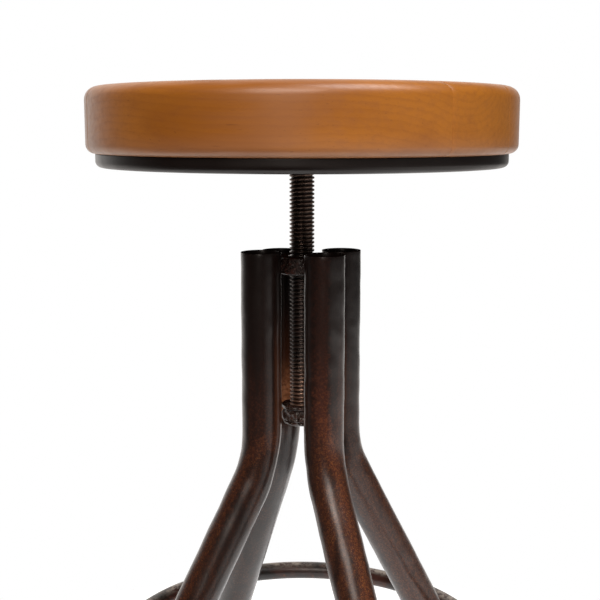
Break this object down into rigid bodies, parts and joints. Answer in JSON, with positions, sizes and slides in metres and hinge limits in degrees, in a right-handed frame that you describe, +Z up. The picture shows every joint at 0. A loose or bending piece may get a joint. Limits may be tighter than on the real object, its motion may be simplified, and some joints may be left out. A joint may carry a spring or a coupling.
{
  "type": "bar stool",
  "caption": "Round wooden bar stool on bent steel tube legs with a foot ring. The seat turns on a long screw to rise and fall.",
  "frame": {"origin": "on the floor under the screw, in the middle of the four feet", "axes": "+Z up along the screw, -Y to the front, +X to the right seen from the front; the legs stand on the diagonals"},
  "size_m": [0.3748, 0.3748, 0.6659],
  "materials": {
    "leg_steel": "aged dark bronze lacquer, satin",
    "ring_steel": "aged dark bronze lacquer, worn on top",
    "weld_steel": "lacquered weld bead, satin",
    "screw_steel": "darkened steel, lightly oiled",
    "pan_steel": "black gloss paint",
    "zinc_screws": "zinc plated",
    "foot_rubber": "matt moulded rubber",
    "seat_wood": "honey stain under soft gloss lacquer"
  },
  "bodies": {
    "base": {"front_left_leg": "leg_steel", "front_right_leg": "leg_steel", "rear_left_leg": "leg_steel", "rear_right_leg": "leg_steel", "front_left_foot": "foot_rubber", "front_right_foot": "foot_rubber", "rear_left_foot": "foot_rubber", "rear_right_foot": "foot_rubber", "foot_ring": "ring_steel", "foot_ring_welds": "weld_steel", "screw_collar": "screw_steel", "collar_welds": "weld_steel"},
    "washer": {"stop_washer": "screw_steel"},
    "seat": {"seat_screw": "screw_steel", "stop_nut": "screw_steel", "stop_weld": "weld_steel", "hub_weld": "weld_steel", "seat_pan": "pan_steel", "seat_flange": "screw_steel", "flange_weld": "weld_steel", "pan_screws": "zinc_screws", "flange_screws": "zinc_screws", "front_outer_board": "seat_wood", "front_inner_board": "seat_wood", "middle_board": "seat_wood", "rear_inner_board": "seat_wood", "rear_outer_board": "seat_wood"}
  },
  "joints": [
    {"name": "seat_lift", "type": "slide", "parent": "base", "child": "washer", "axis": [0, 0, 1], "range_m": [-0.066, 0.1076]},
    {"name": "seat_turn", "type": "hinge", "parent": "washer", "child": "seat", "pos_m": [0, 0, 0.5272], "axis": [0, 0, 1], "range_deg": [-7416, 12096]}
  ],
  "couplings": [
    {"joint": "seat_lift", "follows": "seat_turn", "m_per_rad": 0.0005093}
  ]
}
